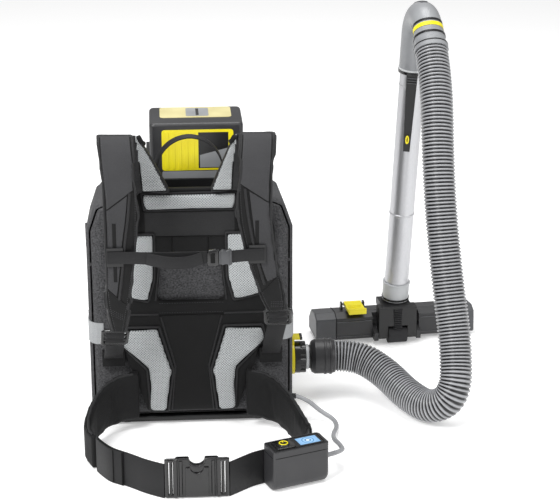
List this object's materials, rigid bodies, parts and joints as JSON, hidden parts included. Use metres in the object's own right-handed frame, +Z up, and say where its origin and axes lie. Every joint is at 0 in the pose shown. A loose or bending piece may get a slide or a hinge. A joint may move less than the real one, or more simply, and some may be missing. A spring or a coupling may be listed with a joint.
{
  "type": "backpack vacuum cleaner",
  "caption": "Backpack vacuum cleaner with padded harness, hip belt with control unit, clip-in battery, ribbed suction hose, wand and floor nozzle.",
  "frame": {"origin": "on the floor at the middle of the pack's base, at the underside of its centre foot", "axes": "+X to the right seen from the harness side (towards the wand), +Y from the harness towards the rear cover, +Z up"},
  "size_m": [0.6149, 0.6006, 0.5636],
  "materials": {
    "foam_shell": "expanded foam shell with a heather grain",
    "black_plastic": "moulded, fine texture",
    "gloss_black": "moulded, polished",
    "dark_grey_plastic": "moulded, fine texture",
    "light_grey_plastic": "moulded, satin",
    "yellow_plastic": "moulded, satin",
    "rubber_black": "soft",
    "webbing": "woven polyester",
    "padded_fabric": "padded polyester",
    "spacer_mesh": "open spacer mesh",
    "reflective_tape": "retroreflective tape",
    "filter_paper": "filter fleece",
    "foam_block": "open-cell foam",
    "steel": "turned",
    "motor_metal": "die-cast",
    "tube_steel": "polished tube",
    "circuit_board": "lacquered board",
    "cell_wrap": "shrink wrap",
    "hose_grey": "corrugated hose",
    "cable_grey": "sheathed cable",
    "display": "printed window",
    "bristle": "bristle strip"
  },
  "bodies": {
    "pack": {"body_shell": "foam_shell", "base_tray": "black_plastic", "base_feet": "rubber_black", "cover_hinge_pins": "steel", "reflective_bands": "reflective_tape", "battery_cradle": "black_plastic", "bag_basket": "black_plastic", "dust_bag": "filter_paper", "motor_housing": "dark_grey_plastic", "motor": "motor_metal", "exhaust_filter": "filter_paper", "circuit_boards": "circuit_board", "silencer_foam": "foam_block", "back_panel": "padded_fabric", "mesh_pads": "spacer_mesh", "shoulder_yoke_left": "padded_fabric", "shoulder_yoke_right": "padded_fabric", "shoulder_strap_left": "padded_fabric", "shoulder_strap_right": "padded_fabric", "carry_loop": "webbing", "ladder_locks": "black_plastic", "strap_webs": "webbing", "belt_wing_left": "padded_fabric", "belt_wing_right": "padded_fabric", "belt_web_left": "webbing", "belt_web_right": "webbing", "hip_buckle_frame": "gloss_black", "control_box": "dark_grey_plastic", "control_panel": "black_plastic", "display_window": "display", "cable_glands": "rubber_black", "port_flange": "black_plastic", "suction_hose": "hose_grey", "control_cable": "cable_grey", "handle_shell": "light_grey_plastic", "handle_grip": "black_plastic", "suction_tube": "tube_steel", "tube_socket": "light_grey_plastic"},
    "cover": {"rear_cover": "foam_shell"},
    "battery": {"battery_case": "dark_grey_plastic", "battery_cells": "cell_wrap"},
    "release": {"battery_release": "yellow_plastic"},
    "chest_strap": {"chest_sliders": "black_plastic", "chest_webs": "webbing", "chest_buckle": "gloss_black"},
    "fan": {"fan_wheel": "light_grey_plastic"},
    "power_button": {"power_button": "gloss_black"},
    "buckle_press": {"hip_buckle_tongue": "gloss_black"},
    "bayonet_ring": {"port_ring": "yellow_plastic"},
    "hose_end": {"port_collar": "gloss_black", "hose_cuff": "hose_grey"},
    "air_ring": {"air_ring": "yellow_plastic"},
    "hose_swivel": {"hose_swivel": "light_grey_plastic"},
    "neck": {"nozzle_neck": "black_plastic"},
    "floor_head": {"nozzle_body": "dark_grey_plastic", "nozzle_caps": "dark_grey_plastic", "nozzle_pins": "steel"},
    "roller": {"nozzle_roller": "rubber_black"},
    "brush": {"brush_strip": "bristle"},
    "pedal": {"nozzle_pedal": "yellow_plastic"}
  },
  "joints": [
    {"name": "cover_hinge", "type": "hinge", "parent": "pack", "child": "cover", "pos_m": [-0.1493, 0.101, 0.15], "axis": [0, 0, 1], "range_deg": [0, 105]},
    {"name": "battery_slide", "type": "slide", "parent": "pack", "child": "battery", "axis": [0, 0, 1], "range_m": [0, 0.12]},
    {"name": "release_press", "type": "slide", "parent": "pack", "child": "release", "axis": [0, 0, -1], "range_m": [0, 0.003], "stiffness_N_per_m": 400, "springref_m": -0.001},
    {"name": "chest_height", "type": "slide", "parent": "pack", "child": "chest_strap", "axis": [0, 0, 1], "range_m": [-0.02, 0.03]},
    {"name": "fan_spin", "type": "hinge", "parent": "pack", "child": "fan", "pos_m": [0, 0.008, 0.265], "axis": [0, 0, 1], "continuous": true},
    {"name": "power_press", "type": "slide", "parent": "pack", "child": "power_button", "axis": [0, 0, -1], "range_m": [0, 0.0015], "stiffness_N_per_m": 600, "springref_m": -0.0008},
    {"name": "buckle_release", "type": "slide", "parent": "pack", "child": "buckle_press", "axis": [0, 1, 0], "range_m": [0, 0.0025], "stiffness_N_per_m": 900},
    {"name": "bayonet_turn", "type": "hinge", "parent": "pack", "child": "bayonet_ring", "pos_m": [0.15, 0.005, 0.058], "axis": [1, 0, 0], "range_deg": [-35, 0]},
    {"name": "hose_end_swivel", "type": "hinge", "parent": "pack", "child": "hose_end", "pos_m": [0.15, 0.005, 0.058], "axis": [1, 0, 0], "continuous": true},
    {"name": "air_ring_turn", "type": "hinge", "parent": "pack", "child": "air_ring", "pos_m": [0.35712, 0.10821, 0.53012], "axis": [0.054, -0.6992, -0.7129], "range_deg": [0, 60]},
    {"name": "hose_swivel_turn", "type": "hinge", "parent": "pack", "child": "hose_swivel", "pos_m": [0.35712, 0.10821, 0.53012], "axis": [0.054, -0.6992, -0.7129], "continuous": true},
    {"name": "neck_swivel", "type": "hinge", "parent": "pack", "child": "neck", "pos_m": [0.334, 0.215, 0.087], "axis": [0.0365, -0.0924, 0.9951], "range_deg": [-90, 90]},
    {"name": "head_tilt", "type": "hinge", "parent": "neck", "child": "floor_head", "pos_m": [0.33314, 0.18916, 0.013], "axis": [0.9945, 0.1045, 0], "range_deg": [-75, 0]},
    {"name": "roller_spin", "type": "hinge", "parent": "floor_head", "child": "roller", "pos_m": [0.33314, 0.18916, 0.013], "axis": [0.9945, 0.1045, 0], "continuous": true},
    {"name": "pedal_rock", "type": "hinge", "parent": "floor_head", "child": "pedal", "pos_m": [0.26431, 0.22215, 0.055], "axis": [0.9945, 0.1045, 0], "range_deg": [0, 12]},
    {"name": "brush_lift", "type": "slide", "parent": "floor_head", "child": "brush", "axis": [0, 0, 1], "range_m": [0, 0.0055]}
  ],
  "couplings": [
    {"joint": "brush_lift", "follows": "pedal_rock", "m_per_rad": 0.023873}
  ]
}
